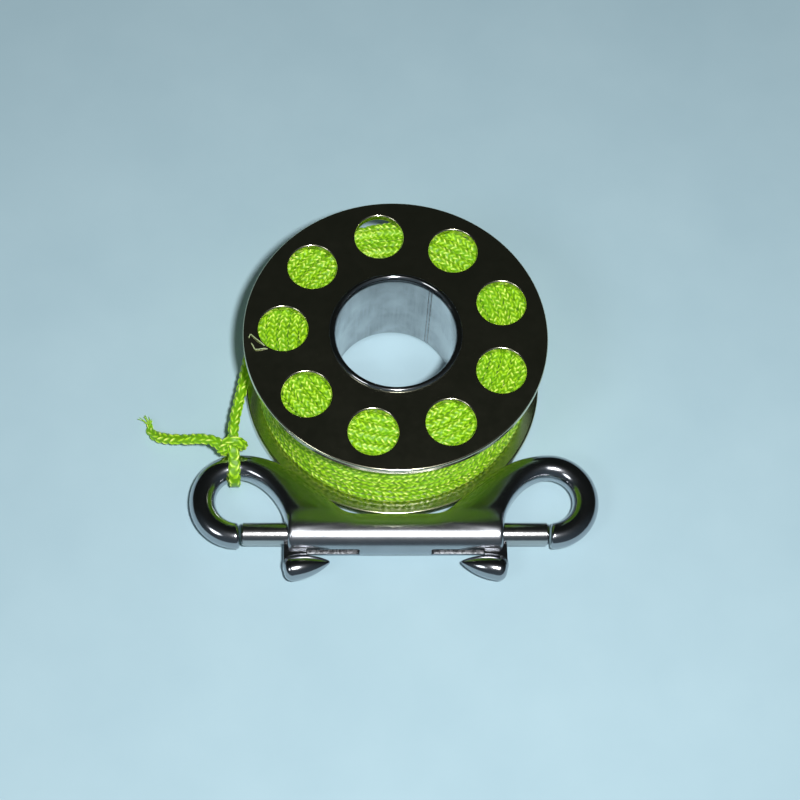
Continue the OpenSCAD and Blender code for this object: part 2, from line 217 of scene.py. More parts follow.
def revolve(runs, segments, relief=None):
    """Points, normals and quads of profile runs turned about Z; relief adds to the radius."""
    a = np.arange(segments) * TAU / segments
    cs, sn = np.cos(a), np.sin(a)
    verts, normals, quads, start = [], [], [], 0
    for run in runs:
        r, z, nr, nz = (run[:, k, None] for k in range(4))
        if relief is not None:
            r = r + relief(np.degrees(a)[None], r, z)
        verts.append(np.stack([r * cs, r * sn, z + 0 * cs], -1).reshape(-1, 3))
        normals.append(np.stack([nr * cs, nr * sn, nz + 0 * cs], -1).reshape(-1, 3))
        quads.append(grid_quads(len(run), segments, True, start))
        start += len(run) * segments
    return np.concatenate(verts), np.concatenate(normals), np.concatenate(quads)


def wound_right(verts, normals, faces):
    """Faces in the order that agrees with the given normals."""
    faces = np.asarray(faces)
    p = verts[faces]
    n = np.cross(p[:, 1] - p[:, 0], p[:, 2] - p[:, 0])
    if faces.shape[1] == 4:
        n = n + np.cross(p[:, 2] - p[:, 0], p[:, 3] - p[:, 0])
    wrong = (n * normals[faces].sum(1)).sum(1) < 0
    faces = faces.copy()
    faces[wrong] = faces[wrong][:, ::-1]
    return faces


def turn_to_x(verts):
    """From turning about Z to lying along X."""
    return verts[:, [2, 1, 0]] * np.array([1, 1, -1])


def on_snap(verts, side):
    """From the right half's own frame to the part's frame; side -1 mirrors it."""
    return verts * np.array([side, 1, 1]) + np.array([0, -SNAP_OFFSET, SNAP_Z])


# ---------- distance fields ----------
def smooth_min(a, b, k):
    """Union of two distances with a fillet of about k."""
    h = np.maximum(k - np.abs(a - b), 0) / k
    return np.minimum(a, b) - h * h * k / 4


def mesh_distance(verts, faces):
    """Signed distance to a closed mesh, as a function of points."""
    tree = BVHTree.FromPolygons([Vector(v) for v in verts], [list(map(int, f)) for f in faces])

    def distance(points):
        out = np.empty(len(points))
        for i, p in enumerate(points.tolist()):
            near, normal, _, d = tree.find_nearest(p)
            out[i] = d if (Vector(p) - near).dot(normal) >= 0 else -d
        return out
    return distance


def field_values(distance, lo, hi, step, rough=4):
    """Field on a fine grid, worked out on a rough one and then exactly near the surface."""
    counts = [int(math.ceil((b - a) / step / rough)) * rough + 1 for a, b in zip(lo, hi)]
    axes = [lo[k] + step * np.arange(counts[k]) for k in range(3)]
    coarse = np.stack(np.meshgrid(*[ax[::rough] for ax in axes], indexing="ij"), -1)
    field = distance(coarse.reshape(-1, 3)).reshape(coarse.shape[:3])
    for k in range(3):
        at = np.arange(counts[k]) / rough
        i = np.minimum(at.astype(int), field.shape[k] - 2)
        t = (at - i).reshape([-1 if j == k else 1 for j in range(3)])
        field = np.take(field, i, k) * (1 - t) + np.take(field, i + 1, k) * t
    margin = 1.4 * rough * step
    near = np.abs(field) < margin
    points = np.stack([axes[k][index] for k, index in enumerate(np.nonzero(near))], -1)
    field[near] = distance(points)
    return field


def blur(field):
    """Field eased by one step of a 1-2-1 filter along each axis."""
    for k in range(3):
        f = np.swapaxes(field, 0, k)
        g = f.copy()
        g[1:-1] = (f[:-2] + 2 * f[1:-1] + f[2:]) / 4
        field = np.swapaxes(g, 0, k)
    return field


def surface(field, lo, step, settle=4):
    """Surface nets: points, outward normals and quads of the zero level, onto which the points settle."""
    inside = field < 0
    shape = np.array(field.shape) - 1
    corners = [(i, j, k) for i in (0, 1) for j in (0, 1) for k in (0, 1)]
    count = sum(inside[i:i + shape[0], j:j + shape[1], k:k + shape[2]].astype(int) for i, j, k in corners)
    cells = np.argwhere((count > 0) & (count < 8))
    index = np.full(shape, -1)
    index[tuple(cells.T)] = np.arange(len(cells))
    total, hits = np.zeros((len(cells), 3)), np.zeros(len(cells))
    for a in corners:
        for k in range(3):
            if a[k]:
                continue
            b = list(a)
            b[k] = 1
            fa, fb = field[tuple((cells + a).T)], field[tuple((cells + b).T)]
            cross = (fa < 0) != (fb < 0)
            t = np.where(cross, fa / np.where(cross, fa - fb, 1), 0)
            point = np.array(a, float) + t[:, None] * np.eye(3)[k]
            total[cross] += point[cross]
            hits += cross
    verts = cells + total / hits[:, None]
    quads = []
    for k in range(3):
        u, v = (k + 1) % 3, (k + 2) % 3
        a = np.take(inside, np.arange(shape[k]), k)
        b = np.take(inside, np.arange(1, shape[k] + 1), k)
        edges = np.argwhere(a != b)
        at_u, at_v = edges[:, u], edges[:, v]
        edges = edges[(at_u > 0) & (at_v > 0) & (at_u < shape[u]) & (at_v < shape[v])]
        eu, ev = np.eye(3, dtype=int)[u], np.eye(3, dtype=int)[v]
        quad = np.stack([index[tuple((edges - off).T)] for off in (0 * eu, eu, eu + ev, ev)], -1)
        out = a[tuple(edges.T)]
        quad[~out] = quad[~out][:, ::-1]
        quads.append(quad)
    grad = np.stack(np.gradient(field), -1)

    def sample(values, p):
        i = np.clip(np.floor(p).astype(int), 0, shape - 1)
        t = p - i
        total = 0
        for c in corners:
            w = np.prod([t[:, n] if c[n] else 1 - t[:, n] for n in range(3)], axis=0)
            got = values[tuple((i + c).T)]
            total = total + (w[:, None] * got if got.ndim > 1 else w * got)
        return total

    for _ in range(settle):
        g = sample(grad, verts)
        verts = verts - sample(field, verts)[:, None] * g / np.maximum((g * g).sum(1), 1e-3)[:, None]
    normals = unit(sample(grad, verts))
    return np.asarray(lo) + verts * step, normals, np.concatenate(quads)


# ---------- materials ----------
def map_range(tree, value, *limits):
    """Output of a Map Range node; limits are the value's least and most, then the output's."""
    node = tree.nodes.new("ShaderNodeMapRange")
    for key, limit in zip(("From Min", "From Max", "To Min", "To Max"), limits):
        node.inputs[key].default_value = limit
    tree.links.new(value, node.inputs["Value"])
    return node.outputs[0]


class Nodes:
    """Small helper that builds one node material."""

    def __init__(self, name):
        self.mat = bpy.data.materials.new(name)
        self.mat.use_nodes = True
        self.tree = self.mat.node_tree
        self.tree.nodes.clear()
        self.shader = self.add("ShaderNodeBsdfPrincipled")
        out = self.add("ShaderNodeOutputMaterial")
        self.link(self.shader.outputs[0], out.inputs[0])
        self.place = self.add("ShaderNodeTexCoord").outputs["Object"]

    def add(self, kind, **settings):
        node = self.tree.nodes.new(kind)
        for key, value in settings.items():
            if key in node.inputs:
                node.inputs[key].default_value = value
            else:
                setattr(node, key, value)
        return node

    def link(self, a, b):
        self.tree.links.new(a, b)

    def set(self, **values):
        for key, value in values.items():
            self.shader.inputs[key.replace("_", " ")].default_value = value

    def stretched(self, scale):
        node = self.add("ShaderNodeMapping")
        node.inputs["Scale"].default_value = scale
        self.link(self.place, node.inputs["Vector"])
        return node.outputs[0]

    def noise(self, scale, detail=2.0, rough=0.5, vector=None):
        node = self.add("ShaderNodeTexNoise", Scale=scale, Detail=detail, Roughness=rough)
        self.link(self.place if vector is None else vector, node.inputs["Vector"])
        return node.outputs["Fac"]

    def spread(self, value, lo, hi, to_lo=0.0, to_hi=1.0):
        return map_range(self.tree, value, lo, hi, to_lo, to_hi)

    def maths(self, kind, a, b):
        node = self.add("ShaderNodeMath", operation=kind)
        for k, x in enumerate((a, b)):
            if isinstance(x, (int, float)):
                node.inputs[k].default_value = x
            else:
                self.link(x, node.inputs[k])
        return node.outputs[0]

    def ramp(self, value, stops):
        node = self.add("ShaderNodeValToRGB")
        elements = node.color_ramp.elements
        while len(elements) < len(stops):
            elements.new(0.5)
        for element, (at, colour) in zip(elements, stops):
            element.position, element.color = at, (*colour, 1)
        self.link(value, node.inputs["Fac"])
        return node.outputs["Color"]

    def mix(self, fac, a, b):
        """Colour mix; the numbers are the RGBA sockets' places on the node."""
        node = self.add("ShaderNodeMix", data_type="RGBA")
        for key, x in ((0, fac), (6, a), (7, b)):
            if isinstance(x, (int, float)):
                node.inputs[key].default_value = x
            elif isinstance(x, tuple):
                node.inputs[key].default_value = (*x, 1)
            else:
                self.link(x, node.inputs[key])
        return node.outputs[2]

    def attribute(self, name):
        return self.add("ShaderNodeAttribute", attribute_name=name).outputs["Fac"]

    def bump(self, height, strength, distance):
        node = self.add("ShaderNodeBump", Strength=strength, Distance=distance)
        self.link(height, node.inputs["Height"])
        self.link(node.outputs[0], self.shader.inputs["Normal"])


def steel(name, tint, rough, streaks, scratch=0.15, depth=0.00001, grain=0.0, cloud=0.07):
    """Polished steel with smudges and fine scratches, which streaks stretches along an axis.

    rough is the least and most roughness. grain darkens the streaks, in patches, and cloud the smudges.
    The point attribute inner marks dull faces, darkened in blotches: painted shade on the snap's bore and slot
    walls, and the weld's heat tint on the tube. satin marks drawn ones.
    """
    inner_rough, satin_rough = 0.25, 0.095
    m = Nodes(name)
    m.set(Metallic=1.0)

    def darker(part):
        return tuple(part * c for c in tint)

    smudge = m.noise(90, 4, 0.6)
    fine = m.noise(1.0, 3, 0.7, m.stretched(streaks))
    inner, satin = m.attribute("inner"), m.attribute("satin")
    worn = m.spread(m.maths("ADD", smudge, m.maths("MULTIPLY", fine, 0.6)), 0.55, 1.1, *rough)
    dull = m.maths("ADD", m.maths("MULTIPLY", inner, inner_rough), m.maths("MULTIPLY", satin, satin_rough))
    m.link(m.maths("ADD", worn, dull), m.shader.inputs["Roughness"])
    shade = m.mix(m.spread(smudge, 0.4, 0.62), tint, darker(1 - cloud))
    patches = m.spread(m.noise(170, 3, 0.6), 0.42, 0.6, 0.15, 1.0)
    dark_streaks = m.maths("MULTIPLY", m.spread(fine, 0.3, 0.7, 0.0, grain), patches)
    shade = m.mix(dark_streaks, shade, darker(0.5))
    # painted shade in the snap's bores and slots, and the weld's heat tint on the tube: inner mixes in blotches of
    # 0.15 to 0.6 of the tint
    recess_shade_and_heat_tint = m.mix(m.spread(m.noise(1500, 2, 0.6), 0.42, 0.58), darker(0.15), darker(0.6))
    m.link(m.mix(inner, shade, recess_shade_and_heat_tint), m.shader.inputs["Base Color"])
    m.bump(fine, scratch, depth)
    return m.mat


def line_material():
    """Fluorescent braid with painted light: painted shade darkens a stitch at its edges, some stitches carry a
    painted highlight along the crest, and a faint emission paints a glow over it all.
    """
    m = Nodes("braided_line")
    m.set(Roughness=0.45, Specular_IOR_Level=0.4, Sheen_Weight=0.05, Sheen_Roughness=0.4)
    crest, glint_pick = m.attribute("crest"), m.attribute("glint_pick")
    fibre = m.noise(5200, 2, 0.6)
    height = m.maths("ADD", m.maths("MULTIPLY", crest, 0.86), m.maths("MULTIPLY", fibre, 0.14))
    # painted shade: the ramp darkens the hollows between the stitches, where crest is low
    base = m.ramp(height, [(0.0, (0.10, 0.26, 0.001)), (0.35, (0.22, 0.47, 0.003)),
                           (0.75, (0.34, 0.64, 0.008)), (1.0, (0.48, 0.78, 0.03))])
    greener = m.mix(m.spread(m.noise(160, 3, 0.6), 0.4, 0.7, 0.0, 0.5), base, (0.17, 0.46, 0.01))
    # painted highlight: some stitches, picked at random, get a pale yellow line along the crest
    painted_highlight = m.maths("MULTIPLY", m.spread(glint_pick, 0.25, 0.8), m.maths("POWER", crest, 5.0))
    pale = m.mix(painted_highlight, greener, (0.95, 0.99, 0.28))
    m.link(pale, m.shader.inputs["Base Color"])
    m.link(pale, m.shader.inputs["Emission Color"])  # painted glow: the dye is fluorescent, but this emission paints light onto the line that no lamp gives
    m.set(Emission_Strength=0.12)
    m.bump(fibre, 0.35, 0.00008)
    return m.mat


def thread_material():
    m = Nodes("stray_thread")
    m.set(Roughness=0.5)
    faded = m.mix(m.noise(2500, 2, 0.6), (0.26, 0.38, 0.12), (0.50, 0.58, 0.38))
    m.link(faded, m.shader.inputs["Base Color"])
    return m.mat


FLANGE_STEEL = steel("flange_steel", (0.66, 0.64, 0.46), (0.14, 0.20), (300, 300, 300), 0.05, 0.000006)
TUBE_STEEL = steel("tube_steel", (0.53, 0.535, 0.545), (0.08, 0.14), (1300, 1300, 60), 0.25, grain=0.6, cloud=0.24)
SNAP_STEEL = steel("snap_steel", (0.43, 0.445, 0.475), (0.13, 0.18), (500, 900, 900), 0.08)
BOLT_STEEL = steel("bolt_steel", (0.50, 0.50, 0.50), (0.17, 0.25), (3000, 500, 500))
# the spring's steel is darker than the rest: painted shade for its place deep in the bore
WIRE_STEEL = steel("spring_steel", (0.30, 0.30, 0.31), (0.22, 0.35), (900, 900, 900))
LINE = line_material()
THREAD = thread_material()


def dress(ob, material, body, slot, *nodes):
    """Gives a piece its material and body, and hides the CAD nodes that it stands for; slot is not used."""
    ob.data.materials.append(material)
    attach(ob, body)
    if nodes:
        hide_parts(*nodes)


# ---------- the line ----------
def braid(s, phi, size=1.0):
    """Height from 0 to 1 of the braid's stitches, and a random pick per stitch that sets its painted highlight, at
    s along the line and phi round it.

    Each stitch is a half ellipsoid. Columns of them go round the line and lean both ways in turn.
    """
    pitch, columns = STITCH_PITCH * size, 8 if size < 1.2 else 6
    long_r, wide_r = STITCH_L * size, STITCH_W * size
    scatter_along, scatter_across, scatter_lean = 0.42, 0.4, 0.75
    count = 997
    chance = np.random.default_rng(7).uniform(0, 1, count)
    best, glint_pick = np.zeros(np.broadcast(s, phi).shape), np.zeros(np.broadcast(s, phi).shape)
    for column in range(columns):
        across = (np.mod(phi - column * TAU / columns + math.pi, TAU) - math.pi) * LINE_D / 2 * size
        lean = math.radians(STITCH_LEAN if column % 2 else -STITCH_LEAN)
        along = s / pitch - 0.5 * (column % 2)
        for shift in (-1, 0, 1):
            stitch = np.round(along) + shift
            pick = stitch.astype(int) * 7 + column * 131
            stray, sway = chance[(pick * 3 + 17) % count] - 0.5, chance[(pick * 5 + 71) % count] - 0.5
            d = (along - stitch + scatter_along * stray) * pitch
            off = across + scatter_across * sway * size
            turn = lean + scatter_lean * stray
            a = d * np.cos(turn) + off * np.sin(turn)
            b = off * np.cos(turn) - d * np.sin(turn)
            h = np.sqrt(np.clip(1 - (a / long_r) ** 2 - (b / wide_r) ** 2, 0, 1))
            more = h > best
            best = np.where(more, h, best)
            glint_pick = np.where(more, chance[pick % count], glint_pick)
    return best, glint_pick


def tube(path, e1, e2, wide, thick, sides, relief=0.3, detail=None, ends=True, size=1.0, square=0.0):
    """Braided tube along a path.

    wide and thick are its radii along e1 and e2, and square fills the corners between them. relief is the
    height of the stitches and size their scale. detail is true for the points that show their stitches.
    """
    s = lengths(path)[:, None]
    phi = (np.arange(sides) * TAU / sides)[None]
    if detail is None:
        detail = np.ones(len(path), bool)
    crest, glint_pick = np.full((len(path), sides), 0.5), np.full((len(path), sides), 0.3)
    crest[detail], glint_pick[detail] = braid(s[detail], phi, size)
    wide = np.broadcast_to(wide, len(path))[:, None]
    thick = np.broadcast_to(thick, len(path))[:, None]
    lift = relief * (crest - MEAN_CREST)
    fill = 1 / (1 + np.broadcast_to(square, len(path))[:, None])
    r1 = (wide + lift) * np.sign(np.cos(phi)) * np.abs(np.cos(phi)) ** fill
    r2 = (thick + lift) * np.sign(np.sin(phi)) * np.abs(np.sin(phi)) ** fill
    verts = path[:, None] + r1[..., None] * e1[:, None] + r2[..., None] * e2[:, None]
    verts = verts.reshape(-1, 3)
    quads = grid_quads(len(path), sides, True)
    crest, glint_pick = crest.ravel(), glint_pick.ravel()
    tris = []
    if ends:
        n = len(verts)
        verts = np.concatenate([verts, path[:1], path[-1:]])
        crest, glint_pick = np.append(crest, [0.4, 0.4]), np.append(glint_pick, [0.3, 0.3])
        k = np.arange(sides)
        first = (len(path) - 1) * sides
        tris = np.concatenate([np.stack([(k + 1) % sides, k, 0 * k + n], -1),
                               np.stack([first + k, first + (k + 1) % sides, 0 * k + n + 1], -1)])
    return verts, quads, tris, {"crest": crest, "glint_pick": glint_pick}


def faces_outwards(path, e1, e2):
    """True where e1, e2 and the path's way are right-handed, so that a tube's faces point outwards."""
    way = np.gradient(path, axis=0)
    return (np.cross(e1, e2) * way).sum(1).mean() > 0


def rope_object(name, path, e1, e2, wide, thick, sides, **options):
    """Object made of one tube, with its faces outwards."""
    verts, quads, tris, values = tube(path, e1, e2, wide, thick, sides, **options)
    if not faces_outwards(path, e1, e2):
        quads = quads[:, ::-1]
        tris = np.asarray(tris)[:, ::-1] if len(tris) else tris
    return make_mesh(name, verts, quads, tris, values=values)


# Free lead, from the winding to the knot
lead_path, lead_r = spline(LEAD_ROUTE, 230), 1.32
lead = rope_object("lead", lead_path, *carried_frames(lead_path, (1, 0, 0)), lead_r, lead_r, 44, size=FREE_STITCH)
lead_length = lengths(lead_path)[-1] * MM
lead_points = [tuple(p * MM) for p in lead_path[::4]] + [tuple(lead_path[-1] * MM)]

# Knot: the line runs on over the hook's bar, comes back under it, and wraps round itself.
# Over the bar it is pressed flat.
knot_path, bar_y, bar_fade = spline(KNOT_ROUTE, 460), -22.4, 1.6
over_bar = smooth((bar_y - knot_path[:, 1]) / bar_fade)
knot_wide, knot_thick, knot_relief = 1.30 + 0.10 * over_bar, 1.26 - 0.42 * over_bar, 0.3 - 0.1 * over_bar[:, None]
knot = rope_object("knot", knot_path, *carried_frames(knot_path, (1, 0, 0)), knot_wide, knot_thick, 48,
                   relief=knot_relief, size=FREE_STITCH, square=over_bar)


def tag_object():
    """The cut end past the knot, which lies down on the table, narrows and frays."""
    fray_l, fray_part, wide, thick, rest_r = 6.5, 0.42, 1.42, 1.16, 1.25
    hairs, hair_r, hair_sides = 26, 0.07, 6
    path = spline(TAG_ROUTE, 190)
    across, up = carried_frames(path, (0.3, 1, 0))
    s = lengths(path)
    narrow = 1 - fray_part * smooth((s - s[-1] + fray_l) / fray_l)
    path[:, 2] = np.maximum(path[:, 2], TABLE_Z + rest_r * narrow)
    verts, quads, tris, values = tube(path, across, up, wide * narrow, thick * narrow, 40, size=FREE_STITCH)
    verts, quads, crest, glint_pick = [verts], [quads], [values["crest"]], [values["glint_pick"]]
    start = len(verts[0])
    chance = np.random.default_rng(5)
    t = np.linspace(0, 1, 7)[:, None]
    way = np.array([-0.15, 0.8, 0.1])
    for _ in range(hairs):
        stray = chance.uniform(-1, 1, 3)
        origin = path[-2] + 0.45 * stray[0] * across[-1] + 0.35 * stray[1] * up[-1]
        length = chance.uniform(0.8, 2.2)
        bend = np.array([stray[0] * 0.7 - 0.35, stray[1] * 0.5, stray[2] * 0.35])
        hair = origin + t * length * way + t ** 2 * length * bend
        hair[:, 2] = np.maximum(hair[:, 2], TABLE_Z + 0.1)
        e1, e2 = carried_frames(hair, (1, 0.2, 0.1))
        v, q, _, value = tube(hair, e1, e2, hair_r, hair_r, hair_sides, relief=0, ends=False)
        verts.append(v)
        quads.append(q + start)
        crest.append(np.full(len(v), MEAN_CREST))
        glint_pick.append(value["glint_pick"])
        start += len(v)
    quads = np.concatenate(quads)
    if not faces_outwards(path, across, up):
        quads, tris = quads[:, ::-1], tris[:, ::-1]
    return make_mesh("tag", np.concatenate(verts), quads, tris,
                     values={"crest": np.concatenate(crest), "glint_pick": np.concatenate(glint_pick)})


tag = tag_object()

dress(lead, LINE, "snap", "line", "line_lead")
dress(knot, LINE, "snap", "line", "line_knot")
dress(tag, LINE, "snap", "line", "line_tag")


def winding():
    """One length of line in seven layers, which leaves the last turn towards the lead.

    A turn runs level, steps along by one pitch in its last part, and climbs a layer at a flange.
    """
    r0, z0 = HUB_R + SEAT + LINE_D / 2, FLANGE_T + SEAT + TURN_PITCH / 2
    top = z0 + (TURNS - 1) * TURN_PITCH
    start_at, step_part, climb_part = math.radians(130), 60 / 360, 24 / 360
    fine_l, hidden_l, end_l = 0.22, 3.2, 0.25
    wound_wide, wound_thick = 1.36, 1.34
    rows = []
    for layer in range(LAYERS):
        for turn in range(TURNS):
            down = layer % 2 == 0
            here = top - turn * TURN_PITCH if down else z0 + turn * TURN_PITCH
            last = turn == TURNS - 1
            there = here if last else here + (-TURN_PITCH if down else TURN_PITCH)
            r_here = r0 + layer * LINE_D
            r_there = r_here + (LINE_D if last and layer < LAYERS - 1 else 0)
            # fine where it shows, on the outside and through the clip holes
            deep = min(turn, TURNS - 1 - turn)
            fine = layer == LAYERS - 1 or deep == 0 or (layer > 2 and deep == 1) or (layer > 3 and deep == 2)
            n = int(TAU * r_here / (fine_l if fine else hidden_l))
            t = np.arange(n) / n
            step = smooth((t - 1 + step_part) / (step_part - climb_part))
            climb = smooth((t - 1 + climb_part) / climb_part)
            rows.append(np.stack([start_at + TAU * t, r_here + (r_there - r_here) * climb,
                                  here + (there - here) * step, np.full(n, float(fine)),
                                  np.full(n, float(layer))], -1))
    rows = np.concatenate(rows)
    angle, radius = rows[:, 0], rows[:, 1]
    steps = np.hypot(np.diff(radius), radius[1:] * (np.diff(angle) % TAU))
    total = np.concatenate([[0], np.cumsum(steps)])
    # the line lies a little unevenly, and looser in the outer layer
    sink, wander_r, wander_z = 0.05, 0.16, 0.20
    loose = np.where(rows[:, 4] == LAYERS - 1, 1.0, 0.5)
    rows[:, 1] += wander_r * loose * wave(total, 11, 17) - sink
    rows[:, 2] += wander_z * loose * wave(total, 12, 23)
    # the end lifts off the outer layer, and leaves it straight towards the lead
    end_r, lift_turn, first = 34.5, 120 / 360, np.array(LEAD_ROUTE[0])
    far = math.hypot(first[0], first[1])
    leave = math.atan2(first[1], first[0]) - math.acos(end_r / far)
    a = np.arange(rows[-1, 0] % TAU + 0.008, leave, end_l / end_r)
    extra = np.tile([0, *rows[-1, 1:3], 1, 0], (len(a), 1))
    extra[:, 0] = a
    rows = np.concatenate([rows, extra])
    count = int(TAU * end_r * lift_turn / end_l)
    t = smooth(np.linspace(0, 1, count))
    rows[-count:, 1] += (end_r - rows[-count:, 1]) * t
    rows[-count:, 2] += (first[2] - rows[-count:, 2]) * t
    keep = TURN_PITCH / 2
    rows[:, 2] = np.clip(rows[:, 2], FLANGE_T + keep, SPOOL_W - FLANGE_T - keep)
    a, r, z = rows[:, 0], rows[:, 1], rows[:, 2]
    path = np.stack([r * np.cos(a), r * np.sin(a), z], -1)
    n = int(np.linalg.norm(first - path[-1]) / end_l)
    run = path[-1] + (first - path[-1]) * (np.arange(1, n + 1) / n)[:, None]
    path = np.concatenate([path, run])
    fine = np.concatenate([rows[:, 3] > 0, np.ones(n, bool)])
    out = unit(path * np.array([1, 1, 0]))
    way = unit(np.gradient(path, axis=0))
    out = unit(out - (out * way).sum(1)[:, None] * way)
    up = np.cross(out, way)
    # the line turns slowly about itself
    twist = 0.9 * wave(lengths(path), 14, 60)[:, None]
    e1, e2 = out * np.cos(twist) + up * np.sin(twist), up * np.cos(twist) - out * np.sin(twist)
    return rope_object("winding", path, e1, e2, wound_wide, wound_thick, 32, detail=fine, relief=0.26)


dress(winding(), LINE, "spool", "line", "line_winding")


# Two stray threads over the upper flange, from the hole beside the lead
THREAD_R = 0.12
for i, route in enumerate(THREAD_ROUTES):
    path = spline(route, 40)
    sides = carried_frames(path, (0.3, 0.2, 1))
    thread = rope_object(f"thread_{i + 1}", path, *sides, THREAD_R, THREAD_R, 8, relief=0)
    dress(thread, THREAD, "spool", "line")


# ---------- flanges and hub ----------
def disc(name, z0):
    """Flange with round holes: one fan of quads round each hole, out to the sector's edge."""
    inner, outer = HUB_R + SEAT, FLANGE_R - RIM_ROUND
    hole = CLIP_R + HOLE_ROUND
    half = math.pi / CLIP_HOLES
    hole_sides, rim_sides = 120, 540
    corners = [math.atan2(sign * r * math.sin(half), r * math.cos(half) - CLIP_CIRCLE_R) % TAU
               for r in (inner, outer) for sign in (-1, 1)]
    angles = np.unique(np.concatenate([np.arange(0, TAU, TAU / hole_sides), corners]))
    c, s = np.cos(angles), np.sin(angles)
    reach = []
    for ca, sa in zip(c, s):
        hits = []
        for r in (inner, outer):
            b = CLIP_CIRCLE_R * ca
            d = b * b - (CLIP_CIRCLE_R ** 2 - r * r)
            if d >= 0:
                hits += [-b - math.sqrt(d), -b + math.sqrt(d)]
        for sign in (-1, 1):
            nx, ny = -sign * math.sin(half), math.cos(half)
            dot = nx * ca + ny * sa
            if abs(dot) > 1e-9:
                hits.append(-nx * CLIP_CIRCLE_R / dot)
        reach.append(min(h for h in hits if h > hole - 0.5))
    reach = np.array(reach)
    rings = hole + (reach - hole) * np.array([0, 0.12, 0.4, 0.7, 1])[:, None]
    fan_x, fan_y = (CLIP_CIRCLE_R + rings * c).ravel(), (rings * s).ravel()
    fan_quads = grid_quads(len(rings), len(angles), True)
    verts, normals, quads, start = [], [], [], 0

    def add(v, n, q):
        nonlocal start
        verts.append(v)
        normals.append(n)
        quads.append(q + start)
        start += len(v)

    # with a radius below zero, the roundings' normals and faces are turned into the steel
    low, high = HOLE_ROUND, FLANGE_T - HOLE_ROUND
    wall = [arc(hole, high, -HOLE_ROUND, -90, 0, 5), flat(CLIP_R, high, CLIP_R, low, 3),
            arc(hole, low, -HOLE_ROUND, 0, 90, 5)]
    hole_wall = revolve(wall, hole_sides)
    for i in range(CLIP_HOLES):
        turn = math.radians(CLIP_PHASE) + i * 2 * half
        ct, st = math.cos(turn), math.sin(turn)
        x, y = fan_x * ct - fan_y * st, fan_x * st + fan_y * ct
        for z, up in ((FLANGE_T, 1.0), (0.0, -1.0)):
            add(np.stack([x, y, 0 * x + z], -1), np.tile([0, 0, up], (len(x), 1)), fan_quads)
        add(hole_wall[0] + np.array([CLIP_CIRCLE_R * ct, CLIP_CIRCLE_R * st, 0]), *hole_wall[1:])
    low, high = RIM_ROUND, FLANGE_T - RIM_ROUND
    rim = [arc(outer, low, RIM_ROUND, -90, 0, 8), flat(FLANGE_R, low, FLANGE_R, high, 2),
           arc(outer, high, RIM_ROUND, 0, 90, 8)]
    add(*revolve(rim, rim_sides))
    verts, normals, quads = np.concatenate(verts), np.concatenate(normals), np.concatenate(quads)
    quads = wound_right(verts, normals, quads)
    return make_mesh(name, verts + np.array([0, 0, z0]), quads, normals=normals)


dress(disc("flange_top", SPOOL_W - FLANGE_T), FLANGE_STEEL, "spool", "flange_steel", "upper_flange")
dress(disc("flange_bottom", 0), FLANGE_STEEL, "spool", "flange_steel", "lower_flange")


def wrapped(degrees):
    """Angle from -180 to 180 degrees."""
    return (degrees + 180) % 360 - 180


def hub():
    """Tube with flared and rolled lips, and a faint weld seam inside, tinted by its heat."""
    half, segments, slope_step = SPOOL_W / 2, 960, 0.05
    flare_z = half + LIP_H - FLARE_H
    flare = arc(0, 0, 1, 180, 90, 16)
    flare = np.concatenate([flare[:, :2] * (FLARE_W, FLARE_H) + (BORE_R + FLARE_W, flare_z),
                            unit(flare[:, 2:] / (FLARE_W, FLARE_H))], 1)
    bore, under = flat(BORE_R, 0, BORE_R, flare_z, 30), flat(LIP_R, half, HUB_R, half)
    bore[:, 2:], under[:, 2:] = (-1, 0), (0, -1)
    lip = [bore, flare, arc(LIP_R - LIP_H, half, LIP_H, 90, 0, 12), under]
    low_lip = [run * np.array([1, -1, 1, -1]) for run in lip]
    wall = flat(HUB_R, -half, HUB_R, half, 2)

    def seam(degrees, r, z):
        off = wrapped(degrees - SEAM_AT + 0.25 * np.sin(z * 0.9))
        return np.where(r < BORE_R + 0.01, -SEAM_H * np.exp(-(off / SEAM_W) ** 2), 0)

    v, n, q = revolve(lip + low_lip + [wall], segments, seam)
    # the weld's own slope tips the normals of the bore
    r, degrees = np.hypot(v[:, 0], v[:, 1]), np.degrees(np.arctan2(v[:, 1], v[:, 0]))
    ahead, behind = (seam(degrees + d, r, v[:, 2]) for d in (slope_step, -slope_step))
    slope = (ahead - behind) / (math.radians(2 * slope_step) * BORE_R)
    round_way = np.stack([-v[:, 1], v[:, 0], 0 * v[:, 2]], -1) / BORE_R
    n = unit(n + slope[:, None] * round_way)
    satin = smooth((BORE_R + 0.12 - r) / 0.1)
    off = np.abs(wrapped(degrees - SEAM_AT))
    tint = 0.8 * satin * (np.exp(-((off - 1.6) / 0.6) ** 2) + 0.25 * np.exp(-(off / 0.7) ** 2))
    return make_mesh("tube", v + np.array([0, 0, half]), wound_right(v, n, q), normals=n,
                     values={"satin": satin, "inner": tint})


dress(hub(), TUBE_STEEL, "spool", "tube_steel", "hub_tube")


# ---------- bolt snap ----------
# Points of the hook's outer curve and of its eye, at an angle in degrees
def outer_point(a):
    a = np.radians(a)
    return np.stack([HOOK_X + HOOK_R * np.cos(a), HOOK_RISE + HOOK_R * HOOK_STRETCH * np.sin(a)], -1)


def eye_point(a):
    a = np.radians(a)
    return np.stack([HOOK_X - EYE_SHIFT + EYE_R * np.cos(a), HOOK_RISE + EYE_R * np.sin(a)], -1)


def turned_out(verts, quads):
    """True where the quads of a closed mesh face outwards."""
    a, b, c, d = (verts[quads[:, k]] for k in range(4))
    return ((np.cross(b, c) + np.cross(c, d)) * a).sum() > 0


def bezier(p, t):
    return (1 - t) ** 3 * p[0] + 3 * t * (1 - t) ** 2 * p[1] + 3 * t * t * (1 - t) * p[2] + t ** 3 * p[3]


